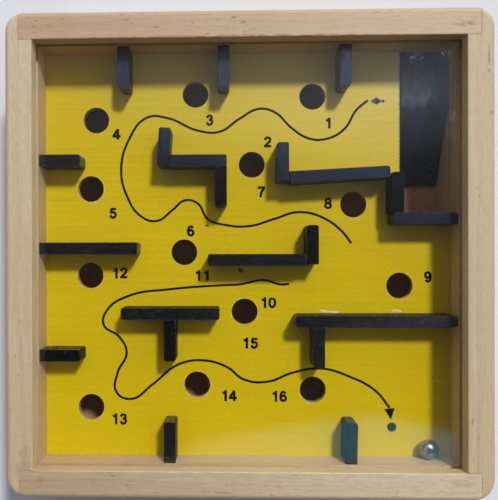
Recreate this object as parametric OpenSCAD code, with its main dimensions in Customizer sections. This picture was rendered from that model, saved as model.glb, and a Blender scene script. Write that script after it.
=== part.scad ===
// Hand-held glazed tilt maze: a wooden box frame with a clear cover, a raised playing board
// with drop holes, wooden guide strips, and a lower tray whose ramp brings the ball back up.
// The box lies flat. Origin: centre of the underside. +X is the player's right, +Y is away.

/* [Frame] */
// Width of the box, left to right
frame_w = 152.4; // [140:0.1:170]
// Depth of the box, near side to far side
frame_d = 152.4; // [140:0.1:170]
// Thickness of each wooden rail
rail_t = 8.6; // [7:0.1:12]
// Thickness of the side rail's tongue that covers the end of a cross rail
lap_t = 4.3; // [3.6:0.1:6]
// Radius of the two upright outer corners on the far side
far_corner_r = 5.8; // [1:0.1:8]
// Radius of the two upright outer corners on the near side
near_corner_r = 6.6; // [1:0.1:8]
// Radius of the long outer edges
edge_r = 1.6; // [0.4:0.1:2.4]
// Radius of the inner edge of the rim
lip_r = 0.4; // [0.2:0.1:1.5]
// Height of the rim above the clear cover
rim_h = 5.5; // [3:0.1:12]

/* [Panels] */
// Depth of the grooves that hold the panels
groove_depth = 3; // [1.5:0.1:4]
// Gap between a panel's edge and the bottom of its groove
panel_play = 0.2; // [0:0.05:0.6]
// Thickness of the clear cover
cover_t = 2.4; // [1.5:0.1:4]
// Gap between the guide strips and the clear cover
cover_gap = 0.5; // [0.2:0.1:2]
// Thickness of the playing board
board_t = 3; // [2:0.1:5]
// Height of the space under the playing board
under_h = 11.9; // [9:0.1:20]
// Thickness of the lower tray
tray_t = 3.2; // [2:0.1:5]
// How far the lower tray sits above the bottom edge of the rails
tray_recess = 2; // [0.5:0.1:5]

/* [Ball and holes] */
// Diameter of the steel ball
ball_d = 6.35; // [4:0.05:7.5]
// Gap between the ball and what it rests against
ball_play = 0.15; // [0.05:0.05:0.3]
// Distance of the ball's centre from the right rail
ball_from_right = 7.6; // [4.5:0.1:20]
// Diameter of each drop hole
hole_d = 8.7; // [7.6:0.05:10]

/* [Guide strips] */
// Width of each guide strip
strip_w = 3.9; // [2.5:0.1:4.6]
// Height of each guide strip
strip_h = 9.6; // [7.6:0.1:14]
// Length of the short stops that stand out from the far rail
stop_len = 13.6; // [8:0.1:16]
// Length of the short stops that stand out from the near rail
near_stop_len = 13.3; // [8:0.1:16]
// Length of the short stops that stand out from the left rail
side_stop_len = 13.4; // [8:0.1:16]
// Cut at the corners of the strips whose ends are clearly cut
strip_cut = 1.4; // [0.4:0.1:1.8]
// Cut at the corners of the strips whose ends are worn round
strip_worn = 0.9; // [0.4:0.1:1.8]
// Small cut at the other free corners of the strips
strip_ease = 0.6; // [0.1:0.1:0.9]

/* [Return ramp] */
// Width of the cut-out in the playing board
well_w = 16.2; // [11:0.1:20]
// Length of the cut-out, from the far rail
well_len = 54.6; // [50:0.1:60]
// Gap around the ramp inside the cut-out
ramp_play = 0.5; // [0.1:0.05:0.8]
// Length of the ramp, from its back at the far rail to its nose
ramp_len = 43.4; // [36:0.1:50]
// Length of the ramp's level top
ramp_top_len = 18.2; // [10:0.1:22]
// Height at which the slope meets the front of the nose
nose_h = 1.8; // [1.2:0.1:3]
// Radius of the rounded nose
nose_r = 1.5; // [0.5:0.1:2]
// Radius of the eased crest between the level top and the slope
crest_r = 3; // [0.5:0.1:8]

/* [Hidden] */
$fn = 64;
eps = 0.01;
inner_x = frame_w / 2 - rail_t;
inner_y = frame_d / 2 - rail_t;
play_h = strip_h + cover_gap;
tray_top = tray_recess + tray_t;
board_z = tray_top + under_h;
board_top = board_z + board_t;
cover_z = board_top + play_h;
frame_h = cover_z + cover_t + rim_h;
panel_w = 2 * (inner_x + groove_depth - panel_play);
panel_d = 2 * (inner_y + groove_depth - panel_play);
half_strip = strip_w / 2;

// Drop holes, each [x, y] from the centre of the board
hole_places = [
    [22.3, 52.9], [2, 30.2], [-16.9, 53.9], [-50.5, 45.5], [-52.4, 22.3], [-20.8, 0.8],
    [35.9, 16.7], [51.2, -10.5], [-0.5, -19.2], [-52.6, -7], [-52.4, -51.5],
    [-16.5, -43.8], [22.3, -45.4]
];

// Stops on the far rail and on the near rail, by x, and stops on the left rail, by y
far_left_x = -40;
far_middle_x = -7.4;
far_right_x = 31.9;
near_left_x = -25.1;
near_right_x = 33.45;
near_right_lean = 0.3;
left_far_y = 30.8;
left_middle_y = 2.1;
left_middle_end = -35.5;
left_near_y = -32.8;

// Stepped guide near the far left corner: post, bar and leg
step_post_x = -27.2;
step_post_lean = 0.8;
step_post_top = 41.3;
step_post_foot = 28.9;
step_bar_y = 30.5;
step_end_x = -6.4;
step_leg_foot = 15.7;

// Gate below the start: a post, and a bar that slopes up to the fence
gate_post_x = 11.75;
gate_post_len = 12.6;
gate_post_below = 1.2;
gate_bar_below = 1.6;
gate_bar_rise = 1.7;
gate_gap = 0.4;

// Fence round the cut-out: side strip and foot strip
fence_len = 13.5;
fence_gap = 0.9;
fence_overhang = 0.45;
fence_inset = 0.6;

// Hook in the middle: post and bar
hook_post_x = 21.25;
hook_post_top = 9.5;
hook_post_foot = -3.2;
hook_bar_y = -1.75;
hook_bar_left = -12.6;

// Two T-shaped guides: bar and leg
left_tee_y = -19.2;
left_tee_start = -41;
left_tee_end = -8.9;
left_tee_leg_x = -25;
left_tee_leg_foot = -34.6;
right_tee_y = -21.6;
right_tee_start = 15.6;
right_tee_leg_x = 23.2;
right_tee_leg_foot = -36.8;

// Cut-out and ramp
well_left = inner_x - well_w;
well_near = inner_y - well_len;
ramp_h = board_top - tray_top;
ramp_back = inner_y - panel_play;
crease_y = ramp_back - ramp_top_len;
nose_y = ramp_back - ramp_len;
ramp_angle = atan2(ramp_h - nose_h, crease_y - nose_y);
crest_reach = crest_r * tan(ramp_angle / 2);
nose_mid_z = nose_h + nose_r * tan(ramp_angle) - nose_r / cos(ramp_angle);

fence_foot_y = well_near + fence_overhang - half_strip;
fence_side_x = well_left - fence_gap - half_strip;
fence_top = well_near + fence_len;
fence_foot_left = fence_side_x - half_strip + fence_inset;
gate_bar_y = fence_top - gate_bar_below;
gate_post_foot = gate_bar_y - gate_post_below;
gate_post_top = gate_post_foot + gate_post_len;
gate_end_x = fence_side_x - half_strip - gate_gap;
step_slope = step_post_lean / (step_post_top - step_post_foot);
step_bar_start = step_post_x + step_slope * (step_bar_y + half_strip - step_post_foot) + half_strip + eps;

paint = [0.14, 0.16, 0.2];
pale_wood = [0.76, 0.68, 0.55];
pink_wood = [0.78, 0.68, 0.57];

// Rectangle centred on the origin with round corners
module round_rectangle(w, d, r) {
    square([w - 2 * r, d], center = true);
    square([w, d - 2 * r], center = true);
    for (x = [-1, 1], y = [-1, 1])
        translate([x * (w / 2 - r), y * (d / 2 - r)])
            circle(r);
}

// Outline of the box from above: a longer rectangle rounded for the far corners, cut by one
// rounded for the near corners
module plan_outline() {
    intersection() {
        translate([0, -far_corner_r])
            round_rectangle(frame_w, frame_d + 2 * far_corner_r, far_corner_r);
        translate([0, near_corner_r])
            round_rectangle(frame_w, frame_d + 2 * near_corner_r, near_corner_r);
    }
}

// Outer form of the box, with its upright corners and its long edges rounded
module outer_form() {
    intersection() {
        linear_extrude(frame_h)
            plan_outline();
        translate([0, frame_d / 2, frame_h / 2])
            rotate([90, 0, 0])
                linear_extrude(frame_d)
                    round_rectangle(frame_w, frame_h, edge_r);
        translate([-frame_w / 2, 0, frame_h / 2])
            rotate([90, 0, 90])
                linear_extrude(frame_w)
                    round_rectangle(frame_d, frame_h, edge_r);
    }
}

// A slot in the rails for a panel of thickness t whose underside is at height z
module panel_groove(z, t) {
    w = 2 * (inner_x + groove_depth);
    d = 2 * (inner_y + groove_depth);
    translate([-w / 2, -d / 2, z])
        cube([w, d, t]);
}

module panel_grooves() {
    panel_groove(tray_recess, tray_t);
    panel_groove(board_z, board_t);
    panel_groove(cover_z, cover_t);
}

// The material that easing removes from an inner rim edge of length len along +Y
module lip_easing(len) {
    translate([0, len / 2, 0])
        rotate([90, 0, 0])
            linear_extrude(len)
                difference() {
                    translate([-lip_r, -lip_r])
                        square([lip_r + eps, lip_r + eps]);
                    translate([-lip_r, -lip_r])
                        circle(lip_r);
                }
}

// Side rail on the left, with a rabbet at each end that takes a cross rail
module side_rail() {
    difference() {
        intersection() {
            outer_form();
            translate([-frame_w / 2, -frame_d / 2, 0])
                cube([rail_t, frame_d, frame_h]);
        }
        for (side = [-1, 1])
            translate([lap_t - frame_w / 2, side * (inner_y + rail_t / 2 + eps / 2), frame_h / 2])
                translate([rail_t / 2, 0, 0])
                    cube([rail_t, rail_t + eps, frame_h + 2 * eps], center = true);
        panel_grooves();
        translate([-inner_x, 0, frame_h])
            lip_easing(2 * inner_y);
    }
}

// Cross rail on the far side, between the tongues of the side rails
module cross_rail() {
    difference() {
        intersection() {
            outer_form();
            translate([lap_t - frame_w / 2, inner_y, 0])
                cube([frame_w - 2 * lap_t, rail_t, frame_h]);
        }
        panel_grooves();
        translate([0, inner_y, frame_h])
            rotate([0, 0, -90])
                lip_easing(2 * inner_x);
    }
}

module rail_left() {
    color(pale_wood)
        side_rail();
}

module rail_right() {
    color(pale_wood)
        mirror([1, 0, 0])
            side_rail();
}

module rail_far() {
    color(pink_wood)
        cross_rail();
}

module rail_near() {
    color(pale_wood)
        mirror([0, 1, 0])
            cross_rail();
}

// A flat panel that fills the grooves, with its underside at height z
module panel(z, t) {
    translate([-panel_w / 2, -panel_d / 2, z])
        cube([panel_w, panel_d, t]);
}

module clear_cover() {
    color([0.85, 0.9, 0.95, 0.25])
        panel(cover_z, cover_t);
}

module playing_board() {
    color([0.82, 0.71, 0.2])
        difference() {
            panel(board_z, board_t);
            translate([well_left, well_near, board_z - eps])
                cube([panel_w, panel_d, board_t + 2 * eps]);
            for (place = hole_places)
                translate([place[0], place[1], board_z - eps])
                    cylinder(h = board_t + 2 * eps, d = hole_d);
        }
}

module lower_tray() {
    color([0.42, 0.28, 0.18])
        panel(tray_recess, tray_t);
}

// Side view of the ramp: level top, eased crest, straight slope and rounded nose
module ramp_profile() {
    crest_mid = [crease_y + crest_reach, ramp_h - crest_r];
    crest_foot = crest_mid + crest_r * [-sin(ramp_angle), cos(ramp_angle)];
    nose_mid = [nose_y + nose_r, nose_mid_z];
    nose_top = nose_mid + nose_r * [-sin(ramp_angle), cos(ramp_angle)];
    polygon([
        [nose_y, 0],
        [ramp_back, 0],
        [ramp_back, ramp_h],
        [crest_mid[0], ramp_h],
        crest_foot,
        nose_top,
        [nose_y, nose_mid_z]
    ]);
    intersection() {
        translate(crest_mid)
            circle(crest_r);
        translate(crest_foot)
            square([crest_mid[0] - crest_foot[0], ramp_h - crest_foot[1]]);
    }
    intersection() {
        translate(nose_mid)
            circle(nose_r);
        translate([nose_y, nose_mid_z])
            square(nose_r);
    }
}

module return_ramp() {
    color(paint)
        translate([well_left + ramp_play, 0, tray_top])
            rotate([90, 0, 90])
                linear_extrude(well_w - 2 * ramp_play)
                    ramp_profile();
}

// Guide strip on the board, whose centre line runs from one point to another. The corners of its
// free end, right and left as seen from the start, are cut off, and on some also those of its start
module strip(from, to, right = strip_ease, left = strip_ease, start = 0) {
    run = to - from;
    len = norm(run);
    start_corners = start > 0
        ? [[start, half_strip], [0, half_strip - start], [0, start - half_strip], [start, -half_strip]]
        : [[0, half_strip], [0, -half_strip]];
    end_corners = [
        [len - right, -half_strip],
        [len, right - half_strip],
        [len, half_strip - left],
        [len - left, half_strip]
    ];
    color(paint)
        translate([from[0], from[1], board_top])
            rotate([0, 0, atan2(run[1], run[0])])
                linear_extrude(strip_h)
                    polygon(concat(start_corners, end_corners));
}

module stop_far_left() {
    strip([far_left_x, inner_y], [far_left_x, inner_y - stop_len], right = strip_cut);
}

module stop_far_middle() {
    strip([far_middle_x, inner_y], [far_middle_x, inner_y - stop_len]);
}

module stop_far_right() {
    strip([far_right_x, inner_y], [far_right_x, inner_y - stop_len], left = strip_cut);
}

module stop_left_far() {
    strip([-inner_x, left_far_y], [side_stop_len - inner_x, left_far_y]);
}

module stop_left_middle() {
    strip([-inner_x, left_middle_y], [left_middle_end, left_middle_y]);
}

module stop_left_near() {
    strip([-inner_x, left_near_y], [side_stop_len - inner_x, left_near_y]);
}

module stop_near_left() {
    strip([near_left_x, -inner_y], [near_left_x, near_stop_len - inner_y]);
}

// This stop leans a little, so its square end stands clear of the rail at one corner
module stop_near_right() {
    clear = half_strip * near_right_lean / near_stop_len;
    start = [near_right_x, clear - inner_y];
    end = [near_right_x + near_right_lean, near_stop_len - inner_y];
    strip(start, end, right = strip_worn, left = strip_worn);
}

module step_post() {
    strip([step_post_x, step_post_foot], [step_post_x + step_post_lean, step_post_top]);
}

// The post leans a little, so the bar starts where its far edge meets the post's face
module step_bar() {
    strip([step_bar_start, step_bar_y], [step_end_x, step_bar_y]);
}

module step_leg() {
    x = step_end_x - half_strip;
    strip([x, step_bar_y - half_strip], [x, step_leg_foot]);
}

module gate_post() {
    strip([gate_post_x, gate_post_foot], [gate_post_x, gate_post_top]);
}

// The bar slopes a little, so it starts just clear of the post's face
module gate_bar() {
    run = gate_end_x - gate_post_x - half_strip;
    clear = half_strip * gate_bar_rise / run;
    start = [gate_post_x + half_strip + clear, gate_bar_y];
    strip(start, [gate_end_x - clear, gate_bar_y + gate_bar_rise]);
}

module fence_side() {
    strip([fence_side_x, fence_foot_y + half_strip], [fence_side_x, fence_top]);
}

module fence_foot() {
    strip(
        [inner_x, fence_foot_y],
        [fence_foot_left, fence_foot_y],
        right = strip_worn,
        left = strip_worn,
        start = strip_worn
    );
}

module hook_post() {
    strip([hook_post_x, hook_post_foot], [hook_post_x, hook_post_top], left = strip_worn);
}

module hook_bar() {
    strip([hook_post_x - half_strip, hook_bar_y], [hook_bar_left, hook_bar_y]);
}

module left_tee_bar() {
    strip([left_tee_start, left_tee_y], [left_tee_end, left_tee_y], start = strip_ease);
}

module left_tee_leg() {
    strip([left_tee_leg_x, left_tee_y - half_strip], [left_tee_leg_x, left_tee_leg_foot]);
}

module right_tee_bar() {
    strip(
        [inner_x, right_tee_y],
        [right_tee_start, right_tee_y],
        right = strip_cut,
        left = strip_cut,
        start = strip_cut
    );
}

module right_tee_leg() {
    foot = [right_tee_leg_x, right_tee_leg_foot];
    strip([right_tee_leg_x, right_tee_y - half_strip], foot, right = strip_cut);
}

module ball() {
    color("silver")
        translate([
            inner_x - ball_from_right,
            ball_d / 2 + ball_play - inner_y,
            board_top + ball_d / 2 + ball_play
        ])
            sphere(d = ball_d);
}

rail_left();
rail_right();
rail_far();
rail_near();
clear_cover();
playing_board();
lower_tray();
return_ramp();
stop_far_left();
stop_far_middle();
stop_far_right();
stop_left_far();
stop_left_middle();
stop_left_near();
stop_near_left();
stop_near_right();
step_post();
step_bar();
step_leg();
gate_post();
gate_bar();
fence_side();
fence_foot();
hook_post();
hook_bar();
left_tee_bar();
left_tee_leg();
right_tee_bar();
right_tee_leg();
ball();
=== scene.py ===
# Hand-held glazed tilt maze. The box is put together here in the order in which it is made: rails,
# lower tray, ramp, playing board, print, guide strips, glue, ball and clear cover. The floor, the
# light and the camera come last. Lengths are metres, in the frame of the CAD model.
import math

import bmesh
import bpy
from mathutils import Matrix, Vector


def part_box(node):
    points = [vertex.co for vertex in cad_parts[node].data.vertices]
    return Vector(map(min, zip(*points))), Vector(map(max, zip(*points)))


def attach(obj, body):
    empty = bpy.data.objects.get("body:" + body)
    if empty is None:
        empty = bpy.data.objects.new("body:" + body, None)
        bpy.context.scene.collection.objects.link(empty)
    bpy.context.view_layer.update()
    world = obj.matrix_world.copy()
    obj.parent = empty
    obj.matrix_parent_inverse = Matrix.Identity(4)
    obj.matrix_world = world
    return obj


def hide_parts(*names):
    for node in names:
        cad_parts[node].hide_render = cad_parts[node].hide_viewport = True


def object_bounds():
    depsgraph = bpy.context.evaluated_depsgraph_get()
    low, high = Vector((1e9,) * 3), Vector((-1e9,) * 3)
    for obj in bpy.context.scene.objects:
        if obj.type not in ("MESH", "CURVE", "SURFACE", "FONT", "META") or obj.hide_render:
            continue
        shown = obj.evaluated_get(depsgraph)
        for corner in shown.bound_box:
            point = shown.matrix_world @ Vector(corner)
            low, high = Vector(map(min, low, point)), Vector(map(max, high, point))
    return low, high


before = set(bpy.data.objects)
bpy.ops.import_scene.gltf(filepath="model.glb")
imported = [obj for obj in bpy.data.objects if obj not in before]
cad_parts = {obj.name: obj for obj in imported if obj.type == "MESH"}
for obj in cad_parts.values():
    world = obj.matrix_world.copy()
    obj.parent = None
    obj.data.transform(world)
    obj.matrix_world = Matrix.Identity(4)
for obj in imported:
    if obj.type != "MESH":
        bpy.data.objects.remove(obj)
cad_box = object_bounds()

# Rails
# Four planed hardwood rails. The side rails are rabbeted at both ends and lap over the cross rails,
# three grooves hold the panels, and the glued box is sanded, which rounds its corners and edges.
mm = 0.001
hair = 0.02 * mm
spare = 1 * mm
groove_depth = 3 * mm
cover_play = 0.25 * mm
far_corner_r = 5.8 * mm
near_corner_r = 6.6 * mm
outer_edge_r = 1.6 * mm
lip_r = 0.4 * mm
seam_ease = 0.1 * mm
edge_angle = math.radians(30)
smooth_angle = math.radians(32)
box_low, box_high = cad_box
inner_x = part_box("rail_right")[0].x
inner_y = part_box("rail_far")[0].y
tongue_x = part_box("rail_far")[1].x


def block(name, low, high):
    """A new box between two corners, with its place in its mesh."""
    low = Vector(low)
    high = Vector(high)
    bpy.ops.object.select_all(action="DESELECT")
    bpy.ops.mesh.primitive_cube_add(size=1, location=(low + high) / 2, scale=high - low)
    bpy.ops.object.transform_apply(location=True, rotation=True, scale=True)
    made = bpy.context.object
    made.name = name
    made.data.name = name
    return made


def edit(piece):
    """Opens a piece for shaping, with nothing else selected."""
    if bpy.context.object and bpy.context.object.mode == "EDIT":
        bpy.ops.object.mode_set(mode="OBJECT")
    bpy.ops.object.select_all(action="DESELECT")
    piece.select_set(True)
    bpy.context.view_layer.objects.active = piece
    bpy.ops.object.mode_set(mode="EDIT")


def shut():
    """Leaves edit mode."""
    bpy.ops.object.mode_set(mode="OBJECT")


def pick(kind, test):
    """Selects the faces or edges that pass a test on their middle and on their normal or way."""
    bpy.ops.mesh.select_mode(type=kind)
    bpy.ops.mesh.select_all(action="DESELECT")
    data = bpy.context.object.data
    shape = bmesh.from_edit_mesh(data)
    if kind == "FACE":
        parts = [(face, face.calc_center_median(), face.normal) for face in shape.faces]
    else:
        parts = []
        for edge in shape.edges:
            start, end = (corner.co for corner in edge.verts)
            way = (end - start).normalized()
            parts.append((edge, (start + end) / 2, Vector(map(abs, way))))
    for part, middle, way in parts:
        if test(middle, way):
            part.select_set(True)
    bmesh.update_edit_mesh(data)


def change(piece, kind, **settings):
    """Adds one modifier to a piece and applies it."""
    bpy.ops.object.select_all(action="DESELECT")
    piece.select_set(True)
    bpy.context.view_layer.objects.active = piece
    modifier = piece.modifiers.new(kind.lower(), kind)
    for name, value in settings.items():
        setattr(modifier, name, value)
    bpy.ops.object.modifier_apply(modifier=modifier.name)


def ease(piece, width, segments=2):
    """Takes the sharpness off the edges of a piece, as a few strokes of sandpaper do."""
    change(
        piece,
        "BEVEL",
        width=width,
        segments=segments,
        limit_method="ANGLE",
        angle_limit=edge_angle,
    )


def join(pieces):
    """Makes one mesh of several."""
    bpy.ops.object.select_all(action="DESELECT")
    for piece in pieces:
        piece.select_set(True)
    bpy.context.view_layer.objects.active = pieces[0]
    bpy.ops.object.join()
    return bpy.context.object


def finish(piece, material, nodes=(), body="box"):
    """Smooths and paints a piece, and hands it over to the frame."""
    bpy.ops.object.select_all(action="DESELECT")
    piece.select_set(True)
    bpy.context.view_layer.objects.active = piece
    bpy.ops.object.shade_smooth_by_angle(angle=smooth_angle)
    change(piece, "WEIGHTED_NORMAL", keep_sharp=True, weight=100)
    piece.data.materials.clear()
    piece.data.materials.append(material)
    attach(piece, body)
    if nodes:
        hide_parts(*nodes)


def tint(red, green, blue):
    """A colour given as a picture shows it, 0 to 255, in the linear values that nodes take."""
    levels = []
    for part in (red / 255, green / 255, blue / 255):
        levels.append(part / 12.92 if part <= 0.04045 else ((part + 0.055) / 1.055) ** 2.4)
    return (*levels, 1)


class Wire:
    """An output socket of a material. Sums written with wires add Math nodes."""

    def __init__(self, tree, socket=None):
        self.tree = tree
        self.socket = socket

    def node(self, kind, settings, values, out=0):
        """Adds any other node: first its settings, then the values or links of its sockets."""
        made = self.tree.nodes.new("ShaderNode" + kind)
        for name, value in settings.items():
            setattr(made, name, value)
        for key, value in values.items():
            if isinstance(value, Wire):
                self.tree.links.new(value.socket, made.inputs[key])
            else:
                made.inputs[key].default_value = value
        return Wire(self.tree, made.outputs[out])

    def sum(self, operation, *values):
        return self.node("Math", {"operation": operation}, dict(enumerate(values)))

    def __add__(self, other):
        return self.sum("ADD", self, other)

    def __radd__(self, other):
        return self.sum("ADD", other, self)

    def __sub__(self, other):
        return self.sum("SUBTRACT", self, other)

    def __rsub__(self, other):
        return self.sum("SUBTRACT", other, self)

    def __mul__(self, other):
        return self.sum("MULTIPLY", self, other)

    def __rmul__(self, other):
        return self.sum("MULTIPLY", other, self)

    def __truediv__(self, other):
        return self.sum("DIVIDE", self, other)

    def __pow__(self, other):
        return self.sum("POWER", self, other)

    def __abs__(self):
        return self.sum("ABSOLUTE", self)

    def most(self, other):
        return self.sum("MAXIMUM", self, other)

    def rise(self, low, high):
        """0 below low and 1 above high, with a soft step between them."""
        steps = {"Value": self, "From Min": low, "From Max": high}
        return self.node("MapRange", {"interpolation_type": "SMOOTHSTEP"}, steps)

    def near(self, value, width):
        """1 at a value, and 0 further from it than a width."""
        return 1 - abs(self - value).rise(0.3 * width, width)

    def parts(self):
        """The x, y and z of a vector."""
        split = self.node("SeparateXYZ", {}, {"Vector": self}).socket.node
        return [Wire(self.tree, socket) for socket in split.outputs]

    def mix(self, low, high):
        """The first colour where this is 0 and the second where it is 1."""
        return self.node("Mix", {"data_type": "RGBA"}, {0: self, 6: low, 7: high}, 2)

    def noise(self, stretch, detail=2, shift=0):
        """Noise on a place in mm. The stretch says how many blotches a mm holds each way."""
        sockets = {"Vector": self, "Scale": stretch, "Location": (shift, 2 * shift, 3 * shift)}
        place = self.node("Mapping", {}, sockets)
        return self.node("TexNoise", {}, {"Vector": place, "Scale": 1, "Detail": detail})

    def spot(self, middle, reach):
        """1 in the middle of a spot on a place in mm, and 0 beyond its reach."""
        off = self.node("Mapping", {}, {"Vector": self, "Location": [-part for part in middle]})
        off = off.node("VectorMath", {"operation": "DIVIDE"}, {0: off, 1: reach})
        return 1 - off.node("VectorMath", {"operation": "LENGTH"}, {0: off}, "Value").rise(0.35, 1)

    def feed(self, shader, name):
        self.tree.links.new(self.socket, shader.inputs[name])


def start_material(name):
    """A new material, its shader, and a wire with the place on the piece in mm."""
    material = bpy.data.materials.new(name)
    material.use_nodes = True
    wire = Wire(material.node_tree)
    place = wire.node("TexCoord", {}, {}, "Object")
    place = wire.node("Mapping", {}, {"Vector": place, "Scale": (1000, 1000, 1000)})
    return material, material.node_tree.nodes["Principled BSDF"], place


def roughen(shader, height, depth):
    """Gives a surface a relief of a depth in mm."""
    bump = height.node("Bump", {}, {"Height": height, "Strength": 1, "Distance": depth * mm})
    bump.feed(shader, "Normal")


def planed_wood(name, length_axis, pith, light, dark, lit_end, fleck, fleck_share, seam_tone, marks):
    """Straight-grained wood whose growth rings lie round a pith outside the rail."""
    material, shader, place = start_material(name)
    x, y, z = place.parts()
    normal = place.node("NewGeometry", {}, {}, "True Normal").parts()
    if length_axis == "y":
        across = x
        along = y
        end_grain = abs(normal[1]).rise(0.75, 0.95)
        ring_stretch, fibre_stretch = (0.05, 0.011, 0.05), (3.2, 0.05, 3.2)
        fleck_stretch = (1.7, 0.36, 1.7)
    else:
        across = y
        along = x
        end_grain = abs(normal[0]).rise(0.75, 0.95)
        ring_stretch, fibre_stretch = (0.011, 0.05, 0.05), (0.05, 3.2, 3.2)
        fleck_stretch = (0.36, 1.7, 1.7)
    sway = place.noise(ring_stretch, 3, pith[0])
    radius = ((across - pith[0]) ** 2 + (z - pith[1]) ** 2) ** 0.5 + 7 * sway
    bands = place.node("TexNoise", {"noise_dimensions": "1D"}, {"W": radius, "Scale": 0.42, "Detail": 1})
    rings = place.node("TexNoise", {"noise_dimensions": "1D"}, {"W": radius, "Scale": 1.7, "Detail": 3})
    fibres = place.noise(fibre_stretch, 3, 5)
    blotches = place.noise((0.06, 0.06, 0.06), 2, 9)
    # Painted light: each rail is lighter towards its end nearer the lamp.
    toward_lit_end = along.rise(-85, 85) * 0.6
    grain = bands.rise(0.3, 0.7) * 0.3 + rings.rise(0.3, 0.75) * 0.2 + fibres.rise(0.3, 0.7) * 0.4
    colour = grain.mix(light, dark)
    colour = (blotches.rise(0.5, 0.75) * 0.3).mix(colour, dark)
    colour = toward_lit_end.mix(colour, lit_end)
    fine = place.noise([0.9 * part for part in fleck_stretch], 4, 7)
    colour = (fine.rise(0.44, 0.64) * 0.24).mix(colour, dark)
    specks = place.noise(fleck_stretch, 1, 2).rise(0.71 - fleck_share, 0.77 - fleck_share)
    specks = specks * place.noise((0.05, 0.05, 0.05), 1, 4).rise(0.35, 0.6)
    colour = (specks * 0.75).mix(colour, fleck)
    pores = place.noise((4, 4, 4), 2, 3).rise(0.45, 0.7)
    colour = (end_grain * (0.35 + 0.4 * pores)).mix(colour, fleck)
    outline = abs(x).most(abs(y))
    # The inner faces carry painted light: lighter all round, with painted bounce light from the yellow
    # board, the near one, which faces the lamp, lightest, and the far one, in shade, a painted dark
    # orange-brown.
    inside = (1 - outline.rise(inner_x / mm - 0.1, inner_x / mm + 0.1)) * (1 - normal[2].rise(0.5, 0.8))
    colour = (inside * 0.8).mix(colour, (fibres * 0.6).mix(tint(226, 196, 146), tint(204, 168, 116)))
    near_wall = inside * (1 - y.rise(-inner_y / mm, 0.2 - inner_y / mm))
    lit_near_tone = x.rise(10, 60).mix(tint(224, 206, 174), tint(238, 228, 212))
    lit_near_tone = z.rise(31, 33).mix(lit_near_tone, tint(188, 162, 126))
    colour = (near_wall * 0.6).mix(colour, (fibres * 0.6).mix(lit_near_tone, tint(206, 182, 148)))
    far_wall = inside * y.rise(inner_y / mm - 0.2, inner_y / mm) * z.rise(26, 34)
    shaded_far_tone = z.rise(33, 34).mix(tint(196, 142, 44), tint(146, 104, 36))
    colour = (far_wall * 0.85).mix(colour, (fibres * 0.6).mix(shaded_far_tone, tint(136, 94, 32)))
    colour = (outline.rise(74.4, 76) * (0.25 + 0.6 * fine)).mix(colour, tint(176, 138, 92))
    # Glue and dirt darken the joints
    lap = abs(x).near(tongue_x / mm, 0.3) * abs(y).rise(inner_y / mm - 0.2, inner_y / mm)
    shoulder = abs(y).near(inner_y / mm, 0.3) * abs(x).rise(inner_x / mm - 0.1, inner_x / mm + 0.2)
    shoulder = shoulder * (1 - abs(x).rise(tongue_x / mm, tongue_x / mm + 0.3))
    seam = lap.most(shoulder) * place.noise((0.7, 0.7, 0.7), 2, 6).rise(0.25, 0.6)
    colour = (seam * seam_tone).mix(colour, tint(112, 82, 56))
    dents = specks
    for middle, reach, stretch, strength, mark in marks:
        spot = place.spot(middle, reach) * place.noise(stretch, 2, 8).rise(0.42, 0.58) * strength
        colour = spot.mix(colour, mark)
        dents = dents.most(spot)
    colour.feed(shader, "Base Color")
    (0.46 + 0.16 * fibres + 0.15 * specks).feed(shader, "Roughness")
    roughen(shader, fibres * 0.5 + rings * 0.2 + fine * 0.3 - dents * 0.8, 0.06)
    return material


sanded_form = block("sanded_form", box_low, box_high)
edit(sanded_form)
for side, radius in ((1, far_corner_r), (-1, near_corner_r)):
    pick("EDGE", lambda middle, way: way.z > 0.9 and middle.y * side > 0)
    bpy.ops.mesh.bevel(offset=radius, segments=14, affect="EDGES")
pick("EDGE", lambda middle, way: way.z < 0.1 and not box_low.z + hair < middle.z < box_high.z - hair)
bpy.ops.mesh.bevel(offset=outer_edge_r, segments=6, affect="EDGES")
shut()

slabs = []
for panel in ("lower_tray", "playing_board", "clear_cover"):
    low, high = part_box(panel)
    play = cover_play if panel == "clear_cover" else 0
    reach_x = inner_x + groove_depth
    reach_y = inner_y + groove_depth
    slabs.append(block("groove", (-reach_x, -reach_y, low.z), (reach_x, reach_y, high.z + play)))
grooves = join(slabs)


def shape_rail(rail, is_lip):
    """Sands a rail with the rest of the box, ploughs its grooves and eases its inner top edge."""
    change(rail, "BOOLEAN", operation="INTERSECT", solver="EXACT", object=sanded_form)
    change(rail, "BOOLEAN", operation="DIFFERENCE", solver="EXACT", object=grooves)
    edit(rail)
    for end in (-1, 1):
        bpy.ops.mesh.select_all(action="SELECT")
        bpy.ops.mesh.bisect(plane_co=(end * inner_x, 0, 0), plane_no=(1, 0, 0))
    pick("EDGE", lambda middle, way: middle.z > box_high.z - hair and is_lip(middle, way))
    bpy.ops.mesh.bevel(offset=lip_r, segments=4, affect="EDGES")
    shut()
    ease(rail, seam_ease)


def side_rail(name, side):
    """Side rail on the left, -1, or on the right, 1, with a tongue at both ends."""
    edge_x = sorted((side * inner_x, side * (box_high.x + spare)))
    rail = block(
        name,
        (edge_x[0], -inner_y, box_low.z - spare),
        (edge_x[1], inner_y, box_high.z + spare),
    )
    edit(rail)
    bpy.ops.mesh.select_all(action="SELECT")
    bpy.ops.mesh.bisect(plane_co=(side * tongue_x, 0, 0), plane_no=(1, 0, 0))
    for end in (-1, 1):
        pick("FACE", lambda middle, way: way.y * end > 0.9 and middle.x * side > tongue_x)
        tongue = (0, end * (box_high.y + spare - inner_y), 0)
        bpy.ops.mesh.extrude_region_move(TRANSFORM_OT_translate={"value": tongue})
    shut()
    shape_rail(rail, lambda middle, way: way.y > 0.9 and abs(middle.x * side - inner_x) < hair)
    return rail


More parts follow.
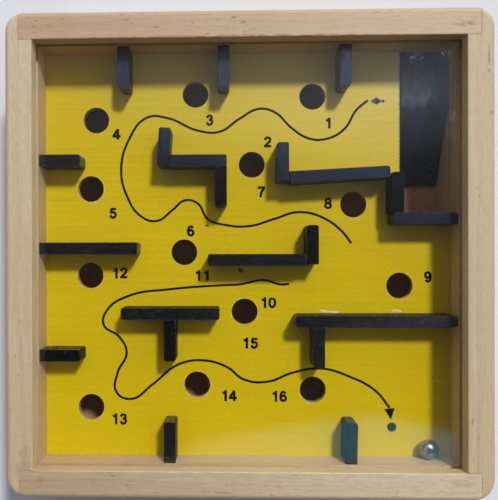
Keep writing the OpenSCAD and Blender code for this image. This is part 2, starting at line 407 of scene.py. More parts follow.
def cross_rail(name, side):
    """Cross rail on the near side, -1, or on the far side, 1."""
    edge_y = sorted((side * inner_y, side * (box_high.y + spare)))
    rail = block(
        name,
        (-tongue_x, edge_y[0], box_low.z - spare),
        (tongue_x, edge_y[1], box_high.z + spare),
    )
    shape_rail(
        rail,
        lambda middle, way: way.x > 0.9
        and abs(middle.y * side - inner_y) < hair
        and abs(middle.x) < inner_x,
    )
    return rail


left_wood = planed_wood(
    "left_rail_wood",
    "y",
    (-118, -30),
    tint(203, 184, 153),
    tint(176, 149, 115),
    tint(218, 200, 172),
    tint(150, 116, 84),
    0.0,
    0.2,
    [
        ((-66.4, -66.4, 38.1), (1.4, 1.2, 1), (2.5, 2.5, 1), 0.8, tint(236, 226, 208)),
        ((-70.5, -65, 38.1), (4.5, 8, 1.5), (0.2, 0.2, 1), 0.35, tint(160, 124, 84)),
    ],
)
right_wood = planed_wood(
    "right_rail_wood",
    "y",
    (131, -18),
    tint(205, 186, 154),
    tint(180, 155, 119),
    tint(214, 196, 166),
    tint(146, 110, 78),
    0.01,
    0.5,
    [
        ((74.1, 58.5, 37.7), (0.3, 7.5, 1.5), (2, 0.5, 2), 0.9, tint(84, 60, 42)),
        ((72.5, -42.5, 38.1), (0.6, 3.4, 1), (1, 0.4, 1), 0.5, tint(158, 112, 92)),
        ((69.2, -51.7, 38.1), (0.8, 1.6, 1), (1.5, 0.6, 1), 0.6, tint(120, 88, 66)),
        ((69.2, -63.2, 38.1), (0.35, 1, 1), (1.5, 0.6, 1), 0.7, tint(120, 88, 66)),
    ],
)
far_wood = planed_wood(
    "far_rail_wood",
    "x",
    (112, -44),
    tint(199, 172, 141),
    tint(178, 147, 115),
    tint(222, 199, 170),
    tint(138, 98, 72),
    0.05,
    0.3,
    [
        # The first mark darkens the far rail's inner edge: painted shade.
        ((0, 67.8, 38), (70, 0.75, 1), (0.3, 1.4, 1), 0.65, tint(150, 110, 64)),
        ((66.8, 70.7, 38.1), (5.2, 1.3, 1.5), (0.3, 1.6, 1), 0.65, tint(160, 112, 96)),
        ((-28.4, 70.9, 38.1), (1.5, 0.45, 1), (2, 3, 1), 0.9, tint(120, 84, 58)),
        ((-48.1, 67.9, 38.1), (1.5, 0.3, 1), (2, 3, 1), 0.8, tint(128, 92, 64)),
        ((-66.4, 69.8, 38.1), (1.3, 0.3, 1), (2, 3, 1), 0.8, tint(136, 98, 70)),
    ],
)
near_wood = planed_wood(
    "near_rail_wood",
    "x",
    (-127, -12),
    tint(190, 167, 136),
    tint(160, 134, 103),
    tint(228, 210, 184),
    tint(128, 92, 66),
    0.02,
    0.25,
    [
        # The first mark lightens the near rail's inner edge: painted light.
        ((0, -67.75, 38), (66, 0.3, 1), (0.3, 2, 1), 0.5, tint(226, 196, 162)),
        ((-42.2, -69.1, 38.1), (1.5, 0.35, 1), (2, 3, 1), 0.9, tint(112, 80, 56)),
        ((-9, -74.1, 38.1), (10, 0.5, 1), (0.2, 2, 1), 0.5, tint(140, 108, 78)),
        ((66.3, -66.6, 38.1), (1.6, 0.9, 1), (2.5, 2.5, 1), 0.9, tint(104, 70, 44)),
        ((66.5, -70.2, 38.1), (5, 2.6, 1.5), (0.3, 0.5, 0.5), 0.35, tint(150, 118, 84)),
        ((-64, -70.8, 38.1), (4, 2.4, 1.5), (0.3, 0.5, 0.5), 0.4, tint(152, 120, 84)),
    ],
)
finish(side_rail("left_rail", -1), left_wood, ["rail_left"])
finish(side_rail("right_rail", 1), right_wood, ["rail_right"])
finish(cross_rail("far_rail", 1), far_wood, ["rail_far"])
finish(cross_rail("near_rail", -1), near_wood, ["rail_near"])

# Lower tray
# A panel of brown hardboard in the lowest groove, smooth above, where the ball rolls, and with the
# mesh that its press leaves in it below.
tray_edge_r = 0.4 * mm
press_radians_per_mm = 4.6
tray = block("tray_panel", *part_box("lower_tray"))
ease(tray, tray_edge_r)
hardboard, shader, place = start_material("brown_hardboard")
fibres = place.noise((1.4, 2.2, 1.4), 4, 1)
clouds = place.noise((0.05, 0.05, 0.05), 3, 2)
crumbs = place.noise((3.5, 3.5, 3.5), 1, 3).rise(0.66, 0.74)
colour = fibres.rise(0.3, 0.7).mix(tint(201, 150, 91), tint(169, 120, 70))
colour = (clouds.rise(0.4, 0.7) * 0.4).mix(colour, tint(183, 126, 72))
colour = (crumbs * 0.5).mix(colour, tint(178, 142, 104))
x, y, z = place.parts()
below = 1 - z.rise(2.3, 2.6)
mesh_marks = x.sum("SINE", x * press_radians_per_mm) * y.sum("SINE", y * press_radians_per_mm)
colour = (below * 0.6).mix(colour, tint(132, 94, 64))
colour = (below * mesh_marks.rise(-0.4, 0.6) * 0.35).mix(colour, tint(92, 66, 46))
colour.feed(shader, "Base Color")
(0.55 + 0.25 * fibres + 0.1 * below).feed(shader, "Roughness")
roughen(shader, fibres * 0.25 + below * mesh_marks * 0.8, 0.12)
finish(tray, hardboard, ["lower_tray"])

# Return ramp
# One block of wood painted as the guide strips are: a level top that meets the board, a sawn slope
# and a sanded nose, glued to the tray. Its paint is bluer than theirs, a painted reflection, and it
# has a painted lit patch across its crest and painted shade at the foot of its slope.
ramp_low, ramp_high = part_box("return_ramp")
level_top = 18.2 * mm
crease_y = ramp_high.y - level_top
crease_r = 0.7 * mm
nose_h = 1.8 * mm
nose_r = 1.5 * mm
ramp_edge_r = 0.15 * mm
ramp = block("ramp_block", ramp_low, ramp_high)
edit(ramp)
slope = math.atan2(ramp_high.z - ramp_low.z - nose_h, crease_y - ramp_low.y)
bpy.ops.mesh.select_all(action="SELECT")
bpy.ops.mesh.bisect(
    plane_co=(0, crease_y, ramp_high.z),
    plane_no=(0, -math.sin(slope), math.cos(slope)),
    clear_outer=True,
    use_fill=True,
)
pick("EDGE", lambda middle, way: way.x > 0.9 and abs(middle.y - crease_y) < hair)
bpy.ops.mesh.bevel(offset=crease_r, segments=4, affect="EDGES")
nose = ramp_low + Vector((0, hair, hair))
pick("EDGE", lambda middle, way: way.x > 0.9 and middle.z > nose.z and middle.y < nose.y)
bpy.ops.mesh.bevel(offset=nose_r * math.tan(math.pi / 4 - slope / 2), segments=5, affect="EDGES")
shut()
ease(ramp, ramp_edge_r)


def dark_paint(name, body_colour, warm_colour, dust_colour, along, wear, crest_light, end_axis, dust_and_sheen=1):
    """Brushed dark paint over wood: worn at the edges, dusty on what faces up, with painted sheen and
    painted light.
    """
    material, shader, place = start_material(name)
    shader.inputs["Specular IOR Level"].default_value = 0.2 * dust_and_sheen
    normal = place.node("NewGeometry", {}, {}, "True Normal").parts()
    flat = abs(normal[0]).most(abs(normal[1])).most(abs(normal[2]))
    edges = 1 - flat.rise(0.93, 0.985)
    brush = place.noise(along, 3, 1)
    hairs = place.noise([1.5 * part for part in along], 2, 6)
    mottle = place.noise((0.5, 0.5, 0.5), 4, 2)
    specks = place.noise((3, 3, 3), 1, 3).rise(0.69, 0.76)
    worn = edges * place.noise((0.9, 0.9, 0.9), 3, 4).rise(0.46, 0.66)
    dust = normal[2].rise(0.3, 0.9) * mottle.rise(0.4, 0.7)
    browner = place.noise((0.03, 0.03, 0.03), 1, 5).rise(0.4, 0.6) * 0.7
    colour = browner.mix(body_colour, warm_colour)
    colour = (0.55 + 0.45 * brush.rise(0.36, 0.6)).mix(tint(6, 5, 6), colour)
    x, y, z = place.parts()
    dustier = normal[2].rise(0.3, 0.9) * x.rise(15, 55) * (1 - y.rise(-15, 5)) * (0.26 + 0.3 * mottle)
    colour = (dustier + dust * 0.1 * dust_and_sheen).mix(colour, dust_colour)
    colour = (hairs.rise(0.56, 0.68) * dust_and_sheen * (0.12 if crest_light else 0.24)).mix(colour, dust_colour)
    if crest_light:
        # Painted light: a lit, bluish band across the ramp's crest, where the lamp and the sky's
        # reflection fall.
        painted_lit_patch = y.rise(46, 49) * (1 - y.rise(52, 60)) * place.noise((0.35, 0.2, 0.3), 4, 5).rise(0.35, 0.75)
        colour = (painted_lit_patch * crest_light).mix(colour, tint(120, 130, 146))
        # Painted shade: the paint turns darker and browner towards the foot of the slope.
        painted_foot_shade = 1 - (y + 5 * mottle).rise(23, 29)
        colour = (painted_foot_shade * 0.7).mix(colour, tint(34, 20, 18))
    else:
        # Painted sheen: the tops of the strips mirror the bluish sky, more so towards the far right.
        painted_sky_sheen = normal[2].rise(0.3, 0.9) * (0.3 * x + y).rise(6, 64) * (0.15 + 0.38 * hairs)
        colour = (painted_sky_sheen * dust_and_sheen).mix(colour, tint(78, 96, 130))
        bare = place.spot((-34.9, 2.2, 26.5), (0.9, 1.4, 4)) * mottle.rise(0.2, 0.5)
        colour = (bare * 0.85).mix(colour, tint(186, 160, 134))
    colour = (specks * 0.12).mix(colour, tint(120, 124, 130))
    colour = (worn * wear * 0.6).mix(colour, tint(112, 100, 84))
    # The ends that face the lamp are lighter: partly worn paint, partly painted light.
    thin = normal[end_axis].rise(0.8, 0.95) * wear * place.noise((0.6, 0.6, 0.35), 3, 7).rise(0.2, 0.6)
    colour = (thin * 0.9).mix(colour, tint(112, 106, 92))
    colour.feed(shader, "Base Color")
    (0.36 + 0.22 * mottle + 0.2 * dust).feed(shader, "Roughness")
    roughen(shader, brush * 0.6 + mottle * 0.4 - worn * 0.5, 0.07)
    return material


# The ramp's paint is bluer than the strips': a painted reflection of the sky.
ramp_paint = dark_paint(
    "ramp_paint",
    tint(13, 24, 40),
    tint(17, 21, 30),
    tint(26, 43, 68),
    (1.2, 0.1, 1.2),
    0,
    0.3,
    1,
)
finish(ramp, ramp_paint, ["return_ramp"])

# Playing board
# A thin board painted yellow on top, in the middle groove, with thirteen drilled drop holes and a
# cut-out for the ramp. The saw and the drill left raw wood and small chips at their edges.
hole_r = 4.35 * mm
hole_places = [
    (22.3, 52.9), (2, 30.2), (-16.9, 53.9), (-50.5, 45.5), (-52.4, 22.3), (-20.8, 0.8), (35.9, 16.7),
    (51.2, -10.5), (-0.5, -19.2), (-52.6, -7), (-52.4, -51.5), (-16.5, -43.8), (22.3, -45.4),
]
board_low, board_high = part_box("playing_board")
board_top = board_high.z
board_edge_r = 0.22 * mm
well_width = 16.2 * mm
well_length = 54.6 * mm
well_left = inner_x - well_width
well_near = inner_y - well_length
board = block("painted_board", board_low, board_high)
edit(board)
bpy.ops.mesh.select_all(action="SELECT")
bpy.ops.mesh.bisect(plane_co=(well_left, 0, 0), plane_no=(1, 0, 0))
bpy.ops.mesh.select_all(action="SELECT")
bpy.ops.mesh.bisect(plane_co=(0, well_near, 0), plane_no=(0, 1, 0))
shut()
well = block(
    "well_cutter",
    (well_left, well_near, board_low.z - spare),
    (board_high.x + spare, board_high.y + spare, board_high.z + spare),
)
change(board, "BOOLEAN", operation="DIFFERENCE", solver="EXACT", object=well)
drills = []
for x, y in hole_places:
    bpy.ops.object.select_all(action="DESELECT")
    bpy.ops.mesh.primitive_cylinder_add(
        vertices=64,
        radius=hole_r,
        depth=board_high.z - board_low.z + 3 * spare,
        location=(x * mm, y * mm, (board_low.z + board_high.z) / 2),
    )
    bpy.ops.object.transform_apply(location=True, rotation=True, scale=True)
    drills.append(bpy.context.object)
drill = join(drills)
change(board, "BOOLEAN", operation="DIFFERENCE", solver="EXACT", object=drill)
ease(board, board_edge_r)
for tool in (sanded_form, grooves, well, drill):
    bpy.data.objects.remove(tool)

yellow_paint, shader, place = start_material("yellow_board_paint")
shader.inputs["Specular IOR Level"].default_value = 0.08
normal = place.node("NewGeometry", {}, {}, "True Normal").parts()
painted = normal[2].rise(0.2, 0.35)
rim = painted * (1 - normal[2].rise(0.9, 0.98))
streaks = place.noise((0.022, 0.9, 0.5), 3, 1)
hairlines = place.noise((0.06, 4.5, 1), 2, 2)
clouds = place.noise((0.035, 0.035, 0.035), 2, 3)
pits = place.noise((2.6, 2.6, 2.6), 1, 4).rise(0.72, 0.78)
raw = place.noise((0.4, 0.4, 2.5), 3, 5).rise(0.3, 0.7).mix(tint(206, 176, 140), tint(160, 124, 88))
paint = streaks.rise(0.3, 0.7).mix(tint(221, 195, 16), tint(214, 186, 10))
paint = (hairlines.rise(0.55, 0.75) * 0.12).mix(paint, tint(228, 204, 44))
paint = (clouds.rise(0.4, 0.7) * 0.4).mix(paint, tint(216, 182, 10))
paint = (pits * 0.08).mix(paint, tint(160, 132, 30))
x, y, z = place.parts()
paint = ((1 - y.rise(-40, 10)) * 0.45).mix(paint, tint(205, 181, 4))
# Painted sheen: the paint is lighter towards the far right, where the lamp's sheen lies on it.
painted_lamp_sheen = (0.45 * x + y).rise(15, 100) * (0.4 + 0.2 * streaks + 0.2 * hairlines)
paint = (painted_lamp_sheen * 0.95).mix(paint, tint(248, 228, 146))
threads = place.noise((0.1, 1.8, 1), 2, 8).rise(0.42, 0.6)
paint = (threads * (0.05 + 0.18 * painted_lamp_sheen)).mix(paint, tint(192, 162, 30))
sawn = x.near(well_left / mm, 0.5) * y.rise(13, 13.2)
sawn = sawn * place.noise((0.8, 1.6, 1), 3, 7).rise(0.35, 0.55)
paint = (painted * sawn * 0.8).mix(paint, tint(44, 40, 34))
off_holes = [((x - hole_x) ** 2 + (y - hole_y) ** 2) ** 0.5 for hole_x, hole_y in hole_places]
off_nearest = off_holes[0]
for off_hole in off_holes[1:]:
    off_nearest = off_nearest.sum("MINIMUM", off_nearest, off_hole)
torn = off_nearest.near(hole_r / mm + 0.15, 0.4)
torn = torn * place.noise((0.7, 0.7, 0.7), 3, 9).rise(0.59, 0.65)
chips = (rim * place.noise((1.1, 1.1, 1.1), 3, 6).rise(0.34, 0.46)).most(painted * torn) * (1 - sawn)
paint = chips.mix(paint, tint(228, 208, 178))
for x_mm, y_mm, reach in ((-1.7, -5.4, 1.4), (-2.2, -4.9, 0.9), (-13.1, 9.8, 0.8)):
    dirt = place.spot((x_mm, y_mm, board_top / mm), (reach, 0.7 * reach, 3)) * clouds.rise(0.1, 0.4)
    paint = (dirt * 0.85).mix(paint, tint(58, 42, 14))
painted.mix(raw, paint).feed(shader, "Base Color")
(0.42 + 0.12 * streaks + 0.25 * (1 - painted)).feed(shader, "Roughness")
roughen(shader, streaks * 0.5 + hairlines * 0.35 - pits * 0.5 - chips, 0.05)
finish(board, yellow_paint, ["playing_board"])

# Print
# Black ink, printed on the paint: the numbers beside the holes, the guide line with its two
# arrowheads, and the winning spot. The ink stands a little proud and has worn in places.
ink_h = 0.03 * mm
line_w = 0.8 * mm
digit_h = 3.65
digit_w = 0.86 * mm
digit_step = 2.8
spot_r = 1.55 * mm
print_edge_r = 0.02 * mm


def ink(name, colour, wear, wear_colour):
    """Printing ink with small gaps where it has worn or did not take."""
    material, shader, place = start_material(name)
    shader.inputs["Specular IOR Level"].default_value = 0.06
    gaps = place.noise((1.3, 1.3, 1.3), 3, 1).rise(0.7 - wear, 0.78 - wear)
    thin = place.noise((0.15, 0.15, 0.15), 2, 2).rise(0.4, 0.7)
    shade = (thin * 0.3).mix(colour, wear_colour)
    (gaps * 0.75).mix(shade, wear_colour).feed(shader, "Base Color")
    (0.4 + 0.25 * gaps).feed(shader, "Roughness")
    roughen(shader, thin * 0.5 - gaps, 0.02)
    return material


def lay_down(piece, x, y):
    """Sets flat print on the board, with its place in its mesh."""
    piece.location = (x * mm, y * mm, board_top)
    bpy.ops.object.select_all(action="DESELECT")
    piece.select_set(True)
    bpy.context.view_layer.objects.active = piece
    bpy.ops.object.transform_apply(location=True, rotation=True, scale=True)


def printed_line(points, width, handles="AUTOMATIC"):
    """A smooth printed line through points in mm, as a low flattened bead of ink."""
    bpy.ops.object.select_all(action="DESELECT")
    bpy.ops.curve.primitive_bezier_curve_add()
    line = bpy.context.object
    bpy.ops.object.mode_set(mode="EDIT")
    bpy.ops.curve.select_all(action="SELECT")
    bpy.ops.curve.delete(type="VERT")
    for x, y in points:
        bpy.ops.curve.vertex_add(location=(x * mm, y * mm, 0))
    bpy.ops.curve.select_all(action="SELECT")
    bpy.ops.curve.handle_type_set(type=handles)
    bpy.ops.object.mode_set(mode="OBJECT")
    line.data.resolution_u = 10
    line.data.bevel_depth = width / 2
    line.data.bevel_resolution = 2
    line.data.use_fill_caps = True
    bpy.ops.object.convert(target="MESH")
    line = bpy.context.object
    line.scale.z = ink_h / (width / 2)
    lay_down(line, 0, 0)
    return line


# The strokes of the digits, one digit high, from the middle of the digit
six = [
    (0.2, 0.25), (0.05, 0.4), (-0.12, 0.34), (-0.23, 0.08), (-0.235, -0.14), (-0.12, -0.37),
    (0.05, -0.4), (0.21, -0.28), (0.22, -0.1), (0.08, 0.06), (-0.1, 0.02), (-0.21, -0.12),
]
strokes = {
    "0": [[
        (0, 0.4), (-0.18, 0.29), (-0.247, 0), (-0.18, -0.29), (0, -0.4), (0.18, -0.29), (0.247, 0),
        (0.18, 0.29), (0.01, 0.4),
    ]],
    "1": [[(0.1, 0.5), (0.1, -0.5)], [(-0.2, 0.24), (-0.01, 0.28), (0.12, 0.44)]],
    "2": [
        [(-0.235, 0.16), (-0.16, 0.34), (0, 0.4), (0.2, 0.32), (0.22, 0.12), (0.02, -0.12), (-0.2, -0.36)],
        [(-0.33, -0.38), (0.34, -0.38)],
    ],
    "3": [
        [(-0.225, 0.2), (-0.14, 0.36), (0.02, 0.41), (0.19, 0.31), (0.17, 0.11), (-0.04, 0.045)],
        [(-0.04, 0.04), (0.19, -0.03), (0.235, -0.22), (0.1, -0.39), (-0.1, -0.4), (-0.24, -0.2)],
    ],
    "4": [[(0.12, 0.48), (0.12, -0.5)], [(0.1, 0.44), (-0.27, -0.17)], [(-0.37, -0.2), (0.375, -0.2)]],
    "5": [
        [(0.3, 0.38), (-0.19, 0.38)],
        [(-0.14, 0.42), (-0.2, 0)],
        [(-0.2, -0.02), (0, 0.09), (0.19, 0), (0.235, -0.16), (0.1, -0.38), (-0.1, -0.4), (-0.25, -0.2)],
    ],
    "6": [six],
    "7": [[(-0.33, 0.38), (0.35, 0.38)], [(0.28, 0.34), (0.02, -0.04), (-0.08, -0.5)]],
    "8": [
        [(0.01, 0.03), (-0.18, 0.12), (-0.18, 0.32), (0, 0.41), (0.18, 0.32), (0.18, 0.12), (0, 0.03)],
        [(0, 0.03), (-0.22, -0.08), (-0.22, -0.3), (0, -0.41), (0.22, -0.3), (0.22, -0.08), (0, 0.03)],
    ],
    "9": [[(-x, -y) for x, y in six]],
}
number_places = [
    (27.6, 44), (7.3, 37.8), (-12.2, 45.3), (-43.65, 40.8), (-44.9, 14.1), (-18.6, 8), (5.2, 21.1),
    (27.5, 17.1), (60.6, -7.6), (7.4, -16.2), (-14.75, -7.05), (-42.75, -6.2), (-43, -55.6),
    (-5.9, -47.55), (1.3, -29.8), (11, -47.7),
]
numbers = []
for count, (middle, y) in enumerate(number_places, 1):
    digits = str(count)
    for index, digit in enumerate(digits):
        x = middle + digit_step * (index - (len(digits) - 1) / 2)
        for stroke in strokes[digit]:
            handles = "VECTOR" if len(stroke) == 2 else "AUTOMATIC"
            points = [(x + digit_h * across, y + digit_h * up) for across, up in stroke]
            numbers.append(printed_line(points, digit_w, handles))
printed_numbers = join(numbers)
printed_numbers.name = "printed_numbers"
number_ink = ink("number_ink", tint(7, 5, 4), 0.02, tint(60, 50, 26))
finish(printed_numbers, number_ink)
first_line = printed_line([
    (40.8, 51.5), (37, 48.3), (33, 42), (27.3, 38.8), (21.1, 38.9), (15.2, 42.6), (10, 47.6),
    (4.8, 49), (-2.2, 45.6), (-8.7, 41.4), (-16.1, 41.8), (-26.3, 46.1), (-33.3, 46.3), (-39.4, 39),
    (-42.1, 28.8), (-40.3, 20.2), (-35.3, 12.9), (-30.1, 11.4), (-24.6, 15.2), (-20.5, 18.3),
    (-16.3, 17.3), (-12.9, 12.1), (-6.5, 9.9), (1.4, 9.6), (9.4, 11.9), (17.8, 14.2), (26, 12.2),
    (32.4, 7.4), (35.2, 3.7),
], line_w)
second_line = printed_line([
    (14.4, -9.9), (11.9, -10.1), (9.7, -9.6), (7.7, -8.9), (5.6, -8.6), (3.5, -8.8),
    (1.4, -9.3), (-2.8, -10.1), (-7.5, -10.3), (-25.9, -11.7), (-39.9, -14),
    (-46.9, -18.6),
    (-48.2, -23.6), (-43, -27.7), (-40.4, -33), (-43.5, -40), (-43.9, -46.4), (-39.1, -48.8),
    (-31.7, -43.9), (-22.7, -37), (-14.1, -35.7), (-6.5, -37.9), (-0.7, -42.1), (7.1, -42.8),
    (15.7, -39.7), (25.2, -38.3), (34.1, -40.8), (43.2, -45.7), (47.9, -51.4),
], line_w)


def arrowhead(name, corners, radius, stretch, turn, x, y):
    """A printed arrowhead: a flat figure of a few corners, drawn out and turned."""
    bpy.ops.object.select_all(action="DESELECT")
    bpy.ops.mesh.primitive_cylinder_add(vertices=corners, radius=radius * mm, depth=2 * ink_h)
    head = bpy.context.object
    head.name = name
    head.scale = (stretch[0], stretch[1], 1)
    head.rotation_euler.z = math.radians(turn)
    lay_down(head, x, y)
    ease(head, print_edge_r, 1)
    return head


line_print = join([
    first_line,
    second_line,
    arrowhead("end_head", 3, 2, (1, 1.3), 187, 48, -52.9),
])
line_print.name = "printed_guide_line"
line_ink = ink("line_ink", tint(7, 5, 4), 0.05, tint(56, 47, 26))
finish(line_print, line_ink)
start_print = join([
    arrowhead("printed_start_arrow", 4, 2, (1, 0.6), 0, 43.6, 51.2),
    arrowhead("tail_dot", 12, 0.5, (1, 1), 0, 45.9, 51.2),
])
start_ink = ink("start_ink", tint(58, 58, 64), 0.16, tint(122, 118, 96))
finish(start_print, start_ink)
bpy.ops.object.select_all(action="DESELECT")
bpy.ops.mesh.primitive_cylinder_add(vertices=48, radius=spot_r, depth=2 * ink_h)
spot_print = bpy.context.object
spot_print.name = "printed_winning_spot"
lay_down(spot_print, 48.6, -57.8)
ease(spot_print, print_edge_r, 1)
finish(spot_print, ink("spot_ink", tint(20, 17, 13), 0.06, tint(96, 80, 36)))

# Guide strips
# Twenty-one lengths of wooden strip painted dark blue-black, glued to the board on edge. Where the
# ball passes the end of a strip, the maker cut its corner off.
strip_low, strip_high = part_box("stop_far_left")
half_strip = 1.95 * mm
strip_h = strip_high.z - strip_low.z
cut = 1.4 * mm
worn = 0.9 * mm
soft = 0.6 * mm
strip_edge_r = 0.35 * mm
strips = {
    "stop_far_left": (-40, 67.6, -40, 54, cut, soft, 0),
    "stop_far_middle": (-7.4, 67.6, -7.4, 54, soft, soft, 0),
    "stop_far_right": (31.9, 67.6, 31.9, 54, soft, cut, 0),
    "stop_left_far": (-67.6, 30.8, -54.2, 30.8, soft, soft, 0),
    "stop_left_middle": (-67.6, 2.1, -35.5, 2.1, soft, soft, 0),
    "stop_left_near": (-67.6, -32.8, -54.2, -32.8, soft, soft, 0),
    "stop_near_left": (-25.1, -67.6, -25.1, -54.3, soft, soft, 0),
    "stop_near_right": (33.45, -67.56, 33.75, -54.3, worn, worn, 0),
    "step_post": (-27.2, 28.9, -26.4, 41.3, soft, soft, 0),
    "step_bar": (-25.01, 30.5, -6.4, 30.5, soft, soft, 0),
    "step_leg": (-8.35, 28.55, -8.35, 15.7, soft, worn, 0),
    "gate_post": (11.75, 23.7, 11.75, 36.3, soft, soft, 0),
    "gate_bar": (13.8, 24.9, 46.1, 26.6, soft, soft, 0),
    "fence_side": (48.55, 13.45, 48.55, 26.5, soft, soft, 0),
    "fence_foot": (67.6, 11.5, 47.2, 11.5, worn, worn, worn),
    "hook_post": (21.25, -3.2, 21.25, 9.5, soft, worn, 0),
    "hook_bar": (19.3, -1.75, -12.6, -1.75, soft, soft, 0),
    "left_tee_bar": (-41, -19.2, -8.9, -19.2, soft, soft, soft),
    "left_tee_leg": (-25, -21.15, -25, -34.6, soft, soft, 0),
    "right_tee_bar": (67.6, -21.6, 15.6, -21.6, cut, cut, cut),
    "right_tee_leg": (23.2, -23.55, 23.2, -36.8, cut, soft, 0),
}
blue_black = tint(8, 9, 16)
brown_black = tint(15, 11, 10)
dusty = tint(62, 62, 74)
paints = {
    "x": dark_paint("paint_x", blue_black, brown_black, dusty, (0.15, 1.3, 0.9), 0.7, 0, 0),
    "y": dark_paint("paint_y", blue_black, brown_black, dusty, (1.3, 0.15, 0.9), 0.7, 0, 1),
    "fresh": dark_paint(
        "paint_fresh",
        tint(6, 6, 8),
        tint(8, 6, 6),
        dusty,
        (1.3, 0.15, 0.9),
        0.5,
        0,
        1,
        0.25,
    ),
}
fresh_strips = (
    "step_leg", "fence_side", "hook_post", "left_tee_leg", "stop_left_near", "stop_near_right",
)
for name, (x1, y1, x2, y2, right, left, start) in strips.items():
    length = math.hypot(x2 - x1, y2 - y1) * mm
    strip = block(name + "_strip", (0, -half_strip, 0), (length, half_strip, strip_h))
    edit(strip)
    for end, side, size in ((length, -1, right), (length, 1, left), (0, -1, start), (0, 1, start)):
        corner = Vector((end, side * half_strip))
        if size:
            pick("EDGE", lambda middle, way: way.z > 0.9 and (middle.xy - corner).length < hair)
            steps = 3 if size == worn or start == cut else 2
            bpy.ops.mesh.bevel(offset=size, segments=steps, affect="EDGES")
    shut()
    ease(strip, strip_edge_r, 3)
    strip.rotation_euler.z = math.atan2(y2 - y1, x2 - x1)
    lay_down(strip, x1, y1)
    coat = "x" if abs(x2 - x1) > abs(y2 - y1) else "y"
    if name in fresh_strips:
        coat = "fresh"
    finish(strip, paints[coat], [name])

# Glue
# Two small runs of clear glue, squeezed out where the maker pressed the long right-hand strip down.
# They dried glossy on the paint at the foot of its far side. Their pale colour is partly a painted glint.
glue_w = 0.6 * mm
glue, shader, place = start_material("dried_glue")
lumps = place.noise((0.9, 0.9, 0.9), 2, 1)
# The glue's pale colour is partly a painted glint.
lumps.rise(0.35, 0.65).mix(tint(226, 214, 150), tint(236, 230, 196)).feed(shader, "Base Color")
(0.12 + 0.2 * lumps).feed(shader, "Roughness")
roughen(shader, lumps, 0.05)
runs = []
for foot in ([(24.6, -18.8), (26.6, -19.1), (31, -19.5)], [(48.6, -19), (50.2, -18.8), (51.8, -19.1)]):
    runs.append(printed_line(foot, glue_w))
glue_run = join(runs)
glue_run.name = "glue_run"
finish(glue_run, glue)

# Ball
# One polished steel ball, which rolls on the board. It lies by the near rail, on the right.
ball_low, ball_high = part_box("ball")
ball_r = (ball_high.x - ball_low.x) / 2
ball = block("rolling_ball", ball_low, ball_high)
edit(ball)
bpy.ops.mesh.select_all(action="SELECT")
bpy.ops.mesh.subdivide(number_cuts=31)
shut()
ball_middle = (ball_low + ball_high) / 2
ball.location = -ball_middle
bpy.ops.object.transform_apply(location=True, rotation=True, scale=True)
change(ball, "CAST", cast_type="SPHERE", factor=1, use_radius_as_size=False, size=ball_r)
ball.location = ball_middle
bpy.ops.object.transform_apply(location=True, rotation=True, scale=True)
steel, shader, place = start_material("ball_steel")
shader.inputs["Metallic"].default_value = 1
scratches = place.noise((0.5, 0.5, 9), 2, 1).rise(0.6, 0.75)
dull = place.noise((0.6, 0.6, 0.6), 3, 2)
dull.rise(0.3, 0.7).mix(tint(172, 175, 177), tint(138, 140, 143)).feed(shader, "Base Color")
(0.24 + 0.14 * dull + 0.12 * scratches).feed(shader, "Roughness")
roughen(shader, dull * 0.2 - scratches * 0.2, 0.004)
finish(ball, steel, ["ball"], "steel_ball")

# Clear cover
# A clear plastic sheet, slid into the top groove before the last rail was glued. It has fine
# scratches, dust and a few specks, most of them over the start.
cover_edge_r = 0.3 * mm
cover_low, cover_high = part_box("clear_cover")
cover_top_mm = cover_high.z / mm
cover = block("clear_sheet", cover_low + Vector((0, 0, hair)), cover_high)
ease(cover, cover_edge_r)
clear_sheet, shader, place = start_material("clear_sheet")
x, y, z = place.parts()
over_start = (1 - (((x - 52) / 16) ** 2 + ((y - 58) / 14) ** 2).rise(0.2, 1)) * y.rise(20, 40)
grit = place.noise((2.4, 2.4, 2.4), 4, 1)
clusters = place.spot((53.4, 62.3, cover_top_mm), (3.6, 2.6, 3))
for x_mm, y_mm in ((62.7, 63.7), (31.7, 63.1), (65.7, 43.5)):
    clusters = clusters.most(place.spot((x_mm, y_mm, cover_top_mm), (2.6, 2.6, 3)))
specks = grit.rise(0.69, 0.72).most(grit.rise(0.635, 0.67) * over_start * 0.6)
specks = specks.most(grit.rise(0.54, 0.6) * clusters)
patches = place.noise((0.05, 0.05, 0.05), 1, 3).rise(0.5, 0.7)
scratches = place.noise((0.12, 5, 1), 2, 2).rise(0.7, 0.78) * patches
bloom = y.rise(-20, 50) * (0.55 + 0.45 * x.rise(-40, 50))
haze = 0.0006 + 0.0013 * place.noise((0.03, 0.03, 0.03), 2, 4) + 0.006 * bloom
grime = x.rise(65.4, 67.2) * place.noise((2, 0.5, 1), 3, 6).rise(0.5, 0.65)
dust = specks * 0.2 + scratches * 0.04 + grime * 0.12 + haze
facing = place.node("LayerWeight", {}, {"Blend": 0.5}, "Facing")
gloss = 0.04 + 0.9 * facing ** 5
(gloss / (dust + gloss)).feed(shader, "Metallic")
(gloss / (dust + gloss)).mix(tint(208, 214, 222), tint(255, 255, 255)).feed(shader, "Base Color")
(dust + gloss).feed(shader, "Alpha")
shader.inputs["Roughness"].default_value = 0.04
finish(cover, clear_sheet, ["clear_cover"])

# Floor, light and camera
# A plain pale floor, one soft lamp from the far right, light from all round, and the camera of the
# photograph, which looks straight down on the box.
floor_size = 6
lamp_strength = 2.5
lamp_width = math.radians(7.5)
bpy.ops.object.select_all(action="DESELECT")
bpy.ops.mesh.primitive_plane_add(size=floor_size)
floor = bpy.context.object
floor.name = "floor"
floor_colour, shader, place = start_material("pale_floor")
weave = place.noise((0.02, 0.02, 0.02), 3, 1)
weave.rise(0.3, 0.7).mix(tint(226, 228, 233), tint(221, 223, 229)).feed(shader, "Base Color")
shader.inputs["Roughness"].default_value = 0.9
floor.data.materials.append(floor_colour)

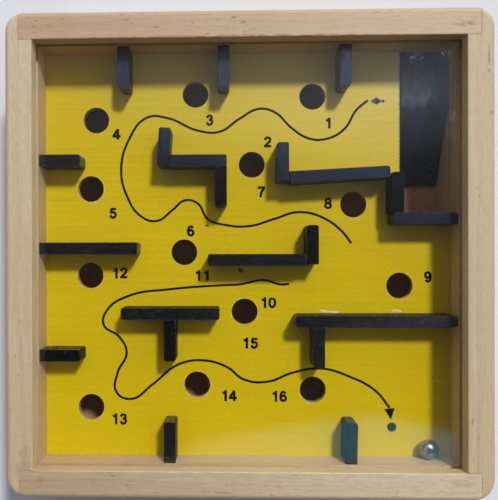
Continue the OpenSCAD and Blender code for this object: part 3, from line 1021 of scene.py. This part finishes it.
to_lamp = Vector((6.4, 11.3, 18))
bpy.ops.object.light_add(type="SUN", location=(0.3, 0.6, 1))
lamp = bpy.context.object
lamp.rotation_euler = to_lamp.to_track_quat("Z", "Y").to_euler()
lamp.data.energy = lamp_strength
lamp.data.angle = lamp_width
lamp.visible_glossy = False

world = bpy.data.worlds.new("studio")
bpy.context.scene.world = world
world.use_nodes = True
sky = Wire(world.node_tree)
way = sky.node("TexCoord", {}, {}, "Generated")
east, north, height = way.parts()
# What the cover mirrors: a brighter far side with one pane, and a bluish patch on the near side
window = north.rise(0.12, 0.2) * east.rise(-0.5, 0.3)
ceiling = window.mix((0.018, 0.016, 0.019, 1), (0.29, 0.33, 0.41, 1))
pane = north.near(0.222, 0.03) * east.near(0.245, 0.07)
ceiling = pane.mix(ceiling, (0.54, 0.64, 0.78, 1))
door = 1 - (north + 0.165 * abs(east - 0.205)).rise(-0.234, -0.214)
door = door * (0.65 + 1.23 * east) * east.rise(-0.09, -0.02)
ceiling = door.mix(ceiling, (0.24, 0.8, 1.02, 1))
seen = height.rise(0.45, 0.85).mix((0.86, 0.87, 0.89, 1), ceiling)
rays = sky.node("LightPath", {}, {}).socket.node.outputs
mirrored = Wire(sky.tree, rays["Is Glossy Ray"])
glint = (0.17 * east + 0.765 * north + 0.61 * height).rise(0.92, 0.96)
seen = (glint * mirrored).mix(seen, (6, 6.3, 6.6, 1))
direct = Wire(sky.tree, rays["Is Camera Ray"]).most(mirrored)
direct = direct.most(Wire(sky.tree, rays["Is Transmission Ray"]))
window_side = (0.5 * east + 0.87 * north).rise(-0.6, 0.9)
room = window_side.mix((0.05, 0.05, 0.053, 1), (0.6, 0.62, 0.66, 1))
direct.mix(room, seen).feed(world.node_tree.nodes["Background"], "Color")

bpy.ops.object.camera_add(location=(-0.00691, 0.00038, 0.2524))
camera = bpy.context.object
camera.rotation_euler = [math.radians(turn) for turn in (-0.166, 1.801, -0.118)]
camera.data.lens = 49.628
camera.data.shift_x = 0.0905
camera.data.shift_y = 0.0109
bpy.context.scene.camera = camera
bpy.context.scene.view_settings.view_transform = "Standard"
